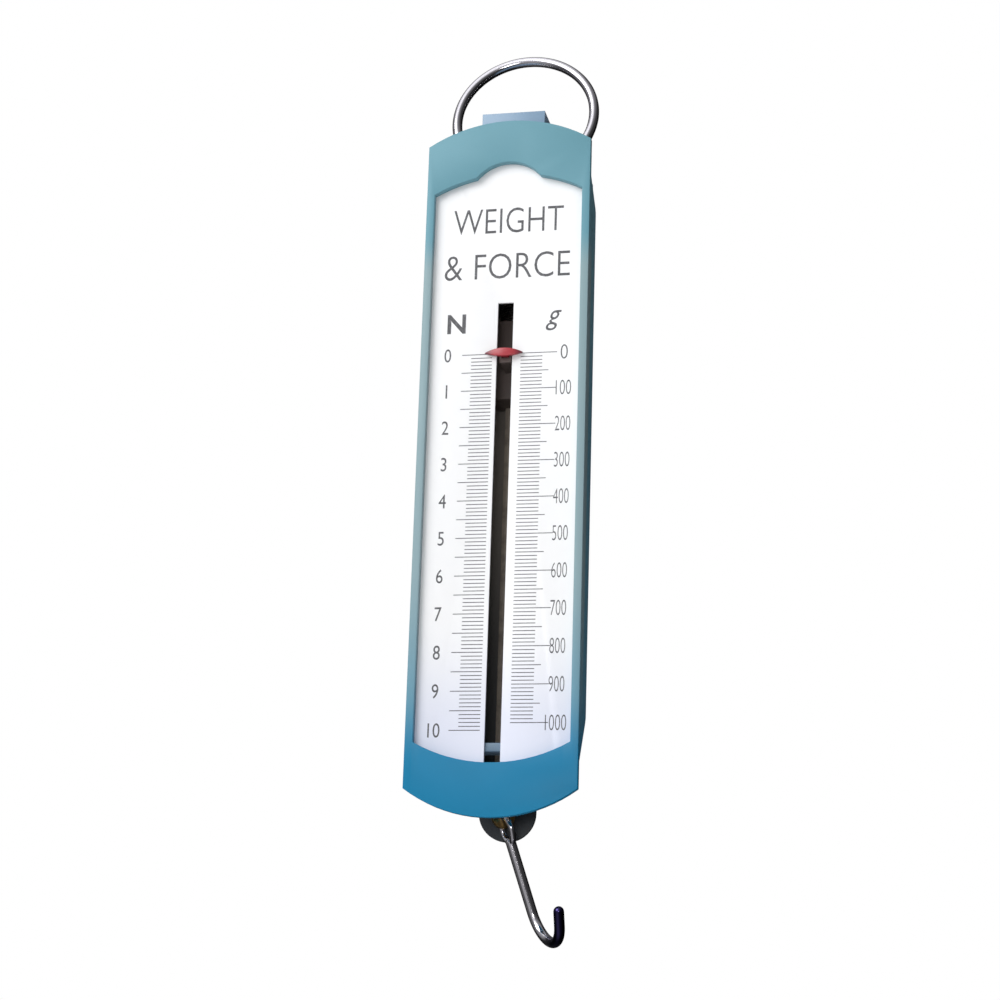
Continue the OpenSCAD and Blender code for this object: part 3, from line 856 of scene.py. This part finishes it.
class SPRINGSCALE_OT_print(Maker, bpy.types.Operator):
    """Print the two scales, their figures, their units and the title on the dial"""

    bl_idname = "springscale.print"
    bl_label = "Dial print"

    def execute(self, context):
        size, words = self.sizes, context.scene.springscale_words
        edge, line = size.slot_edge, size.line
        newton = [ruled(-edge - start, -edge - end, pitch, count, line)
                  for start, end, pitch, count in NEWTON_LINES]
        for number in range(FIGURES):
            spot = (-edge - NEWTON_FIGURES, ZERO - NEWTON_DROP * number)
            newton.append(lettering(str(number), spot, size.newton_digit))
        gram = [ruled(edge + start, edge + end, pitch, count, line)
                for start, end, pitch, count in GRAM_LINES]
        for number in range(FIGURES):
            text = str(100 * number)
            wide = 0.0019 if number == 0 else 0.00135 * len(text)
            spot = (edge + GRAM_FIGURES, ZERO - GRAM_DROP * number)
            gram.append(lettering(text, spot, size.gram_digit, wide, heavy=-0.012))
        units = [
            lettering(words.left_unit, (-edge - NEWTON_UNIT, ZERO + UNIT_UP), 0.0054, 0.0050,
                      heavy=0.022),
            lettering(words.right_unit, (edge + GRAM_UNIT, ZERO + UNIT_UP), 0.0056, 0.0042,
                      slant=0.35),
        ]
        title = [
            lettering(words.upper, (0, ZERO + UPPER_UP), size.title_height, 0.030,
                      heavy=-0.010),
            lettering(words.lower, (0, ZERO + LOWER_UP), size.title_height, 0.034,
                      heavy=-0.010),
        ]
        for name, pieces in (("newton_scale", newton), ("gram_scale", gram),
                             ("unit_letters", units), ("title_letters", title)):
            settle(joined(pieces), name, "case", FINISHES["dial_ink"], smooth=20)
        return {"FINISHED"}


# ---------- spring and slider ----------


class SPRINGSCALE_OT_spring(Maker, bpy.types.Operator):
    """Wind the spring between the case and the slider"""

    bl_idname = "springscale.spring"
    bl_label = "Spring"

    def execute(self, context):
        size = self.sizes
        half = size.coil_wire / 2
        radius = (SPRING_HIGH.x - SPRING_LOW.x) / 2 - half
        start = SPRING_LOW.z + half
        round_wire = 8
        clear()
        bpy.ops.mesh.primitive_circle_add(vertices=round_wire, radius=half,
                                          location=(radius, 0, start),
                                          rotation=(math.pi / 2, 0, 0))
        coil = context.object
        bpy.ops.object.transform_apply(location=True, rotation=True, scale=True)
        wind = coil.modifiers.new("Wind", "SCREW")
        wind.steps = wind.render_steps = 24
        wind.iterations = size.coils
        wind.screw_offset = (SPRING_HIGH.z - SPRING_LOW.z - size.coil_wire) / size.coils
        apply_modifiers(coil)
        bpy.ops.object.mode_set(mode="EDIT")
        bpy.ops.mesh.select_mode(type="EDGE")
        bpy.ops.mesh.select_all(action="DESELECT")
        bpy.ops.mesh.select_non_manifold()
        bpy.ops.mesh.fill_holes(sides=round_wire)
        outward()
        bpy.ops.object.mode_set(mode="OBJECT")
        coil.data.transform(Matrix.Translation((0, LOAD_Y, 0)))
        settle(coil, "wound_spring", None, FINISHES["spring_steel"],
               ["extension_spring"], smooth=60)
        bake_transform(coil)
        return {"FINISHED"}


class SPRINGSCALE_OT_slider(Maker, bpy.types.Operator):
    """Shape the pointer, the carrier and the draw bar"""

    bl_idname = "springscale.slider"
    bl_label = "Slider"

    def execute(self, context):
        size = self.sizes
        parts = (
            ("pointer", "red_pointer", size.pointer_edge, "pointer_red", "pointer_red"),
            ("pointer_carrier", "carrier_moulding", size.carrier_edge, "carrier_plastic",
             "black_plastic"),
            ("draw_bar", "draw_strip", size.bar_edge, "bar_steel", "bar_steel"),
        )
        for node, name, width, finish, slot in parts:
            piece = copy_of(node, name)
            round_edges(piece, width)
            settle(piece, name, "slider", FINISHES[finish], [node])
        return {"FINISHED"}


# ---------- swivel and hook ----------


class SPRINGSCALE_OT_swivel(Maker, bpy.types.Operator):
    """Shape the brass swivel"""

    bl_idname = "springscale.swivel"
    bl_label = "Swivel"

    def execute(self, context):
        piece = copy_of("swivel", "brass_swivel")
        round_edges(piece, self.sizes.swivel_edge, 2)
        settle(piece, "brass_swivel", "swivel", FINISHES["brass"], ["swivel"])
        return {"FINISHED"}


class SPRINGSCALE_OT_hook(Maker, bpy.types.Operator):
    """Bend the hook's wire, round its tip, and close its eye"""

    bl_idname = "springscale.hook"
    bl_label = "Hook"

    def execute(self, context):
        size = self.sizes
        radius, eye = size.hook_wire / 2, size.eye_radius
        shank_rings = 8
        clear()
        bpy.ops.mesh.primitive_torus_add(major_radius=eye, minor_radius=size.eye_wire / 2,
                                         major_segments=72, minor_segments=20,
                                         rotation=(math.pi / 2, 0, 0), location=(0, 0, -eye))
        loop = context.object
        bpy.ops.object.transform_apply(location=True, rotation=True, scale=True)
        clear()
        bpy.ops.mesh.primitive_circle_add(vertices=28, radius=radius, location=(0, 0, -2 * eye))
        wire = context.object
        bpy.ops.object.transform_apply(location=True, rotation=True, scale=True)
        bpy.ops.object.mode_set(mode="EDIT")
        pick("EDGE", lambda middle, along: True)
        dome((0, 0, 1), radius, (0, 0, -2 * eye))
        pick("VERT", lambda at, normal: abs(at.z + 2 * eye) < CLOSE)
        bpy.ops.mesh.select_mode(type="EDGE")
        for _ in range(shank_rings):
            extrude((0, 0, (2 * eye - size.shank) / shank_rings))
        hub = (size.bend_radius, 0, -size.shank)
        bpy.ops.mesh.spin(steps=44, angle=size.bend, center=hub, axis=(0, 1, 0))
        way = Vector((math.sin(size.bend), 0, -math.cos(size.bend)))
        arm = Vector((-math.cos(size.bend), 0, -math.sin(size.bend))) * size.bend_radius
        end = Vector(hub) + arm
        extrude(way * size.tip)
        dome(way, radius, end + way * size.tip)
        outward()
        bpy.ops.object.mode_set(mode="OBJECT")
        weld = wire.modifiers.new("Weld", "BOOLEAN")
        weld.operation, weld.solver, weld.object = "UNION", "EXACT", loop
        apply_modifiers(wire)
        bpy.data.objects.remove(loop)
        turned = Matrix.Rotation(-size.hook_turn, 4, "Z")
        wire.data.transform(Matrix.Translation((0, LOAD_Y, EYE_TOP)) @ turned
                            @ Matrix.Rotation(size.hook_lean, 4, "X"))
        settle(wire, "hook_wire", "hook", FINISHES["hook_wire"], ["hook"],
               smooth=50)
        return {"FINISHED"}


# ---------- stage ----------


class SPRINGSCALE_OT_stage(Maker, bpy.types.Operator):
    """Set the pale floor, the soft light and the camera"""

    bl_idname = "springscale.stage"
    bl_label = "Stage"

    def execute(self, context):
        stage, scene = context.scene.springscale_stage, context.scene
        clear()
        bpy.ops.mesh.primitive_plane_add(size=12, location=(0, 0, -stage.floor_drop))
        floor = context.object
        floor.name = "floor"
        paper = Finish("floor_paper", {"Base Color": (0.94, 0.94, 0.94, 1.0), "Roughness": 0.9})
        paper.bump(paper.noise(40.0, 3.0), 0.05, 0.001)
        floor.data.materials.append(paper.material)
        floor.visible_glossy = False
        self.lamp("key_light", stage.key, 0.90, (-0.70, -1.00, 0.55))
        self.lamp("front_light", stage.key * stage.front_share, 0.25, (0.10, -0.95, -0.20))
        self.sky(stage.daylight)
        self.camera(stage)
        scene.view_settings.view_transform = "Standard"
        return {"FINISHED"}

    def lamp(self, name, watts, width, spot):
        """A square soft light at a spot, aimed at the scale's middle."""
        bpy.ops.object.light_add(type="AREA", location=spot)
        lamp = bpy.context.object
        lamp.name, lamp.data.energy, lamp.data.shape = name, watts, "RECTANGLE"
        lamp.data.size, lamp.data.size_y = width, width
        aim = Vector((0, LOAD_Y, ZERO - 0.03)) - Vector(spot)
        lamp.rotation_euler = aim.to_track_quat("-Z", "Y").to_euler()

    def sky(self, strength):
        """Soft light all round, bright above and to the left; the camera sees plain white."""
        world = bpy.data.worlds.new("soft_room")
        bpy.context.scene.world = world
        world.use_nodes = True
        world.node_tree.nodes.clear()
        net = Network(world.node_tree)
        way = net.node("ShaderNodeTexCoord", output="Generated")
        across, back, up = (net.node("ShaderNodeSeparateXYZ", None, {0: way}, axis)
                            for axis in "XYZ")
        level = net.ramp(across, 0.35, -0.30, 0.16, 1.0) * strength
        level = net.ramp(up, -0.40, 0.70, 0.42, 1.7) * level
        level = net.ramp(back, 0.45, -0.10, 0.10, 1.0) * level
        # Bright metal mirrors a darker room at both sides
        side = net.node("ShaderNodeMath", {"operation": "ABSOLUTE"}, {0: across})
        screen = net.ramp(side, 0.45, 0.80, 1.0, 0.25)
        mirrored = net.node("ShaderNodeLightPath", output="Is Glossy Ray")
        seen = net.node("ShaderNodeLightPath", output="Is Camera Ray")
        shown = net.node("ShaderNodeMix", None, {"Factor": mirrored, "A": 1.0, "B": screen},
                         "Result")
        room = net.node("ShaderNodeBackground", None, {
            "Color": (0.97, 0.98, 1.0), "Strength": level * shown})
        plain = net.node("ShaderNodeBackground", None, {"Color": (1.0, 1.0, 1.0)})
        choice = net.node("ShaderNodeMixShader", None, {0: seen, 1: room, 2: plain})
        output = world.node_tree.nodes.new("ShaderNodeOutputWorld")
        net.feed(output.inputs["Surface"], choice)

    def camera(self, stage):
        """The camera, aimed at its target and rolled a little."""
        across, up = stage.azimuth, stage.elevation
        back = Vector((math.sin(across) * math.cos(up), -math.cos(across) * math.cos(up),
                       math.sin(up)))
        level = Vector((math.cos(across), math.sin(across), 0))
        upright = back.cross(level)
        right = level * math.cos(stage.roll) + upright * math.sin(stage.roll)
        top = back.cross(right)
        turn = Matrix((right, top, back)).transposed().to_4x4()
        bpy.ops.object.camera_add()
        camera = bpy.context.object
        spot = Vector(stage.target) + back * stage.distance
        camera.matrix_world = Matrix.Translation(spot) @ turn
        camera.data.lens, camera.data.sensor_width = stage.lens, 36.0
        camera.data.clip_start, camera.data.clip_end = 0.01, 50.0
        bpy.context.scene.camera = camera


GROUPS = {
    "springscale_sizes": SPRINGSCALE_PG_sizes,
    "springscale_words": SPRINGSCALE_PG_words,
    "springscale_colours": SPRINGSCALE_PG_colours,
    "springscale_stage": SPRINGSCALE_PG_stage,
}
STEPS = (
    SPRINGSCALE_OT_finishes,
    SPRINGSCALE_OT_ring,
    SPRINGSCALE_OT_block,
    SPRINGSCALE_OT_screws,
    SPRINGSCALE_OT_case,
    SPRINGSCALE_OT_print,
    SPRINGSCALE_OT_spring,
    SPRINGSCALE_OT_slider,
    SPRINGSCALE_OT_swivel,
    SPRINGSCALE_OT_hook,
    SPRINGSCALE_OT_stage,
)


class SPRINGSCALE_PT_panel(bpy.types.Panel):
    """Lists the sizes, the colours and the steps that build the scale"""

    bl_idname = "SPRINGSCALE_PT_panel"
    bl_label = "Spring scale"
    bl_space_type = "VIEW_3D"
    bl_region_type = "UI"
    bl_category = "Spring scale"

    def draw(self, context):
        for group in GROUPS:
            box = self.layout.box()
            owner = getattr(context.scene, group)
            for name in owner.__annotations__:
                box.prop(owner, name)
        for step in STEPS:
            self.layout.operator(step.bl_idname)


CLASSES = (*GROUPS.values(), *STEPS, SPRINGSCALE_PT_panel)


def register():
    """Registers the classes and gives the scene their properties."""
    for item in CLASSES:
        bpy.utils.register_class(item)
    for name, group in GROUPS.items():
        setattr(bpy.types.Scene, name, PointerProperty(type=group))


def unregister():
    """Takes the properties and the classes away again."""
    for name in GROUPS:
        delattr(bpy.types.Scene, name)
    for item in reversed(CLASSES):
        bpy.utils.unregister_class(item)


def main():
    """Registers the add-on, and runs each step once."""
    register()
    for step in STEPS:
        family, action = step.bl_idname.split(".")
        getattr(getattr(bpy.ops, family), action)()


if __name__ == "__main__":
    main()
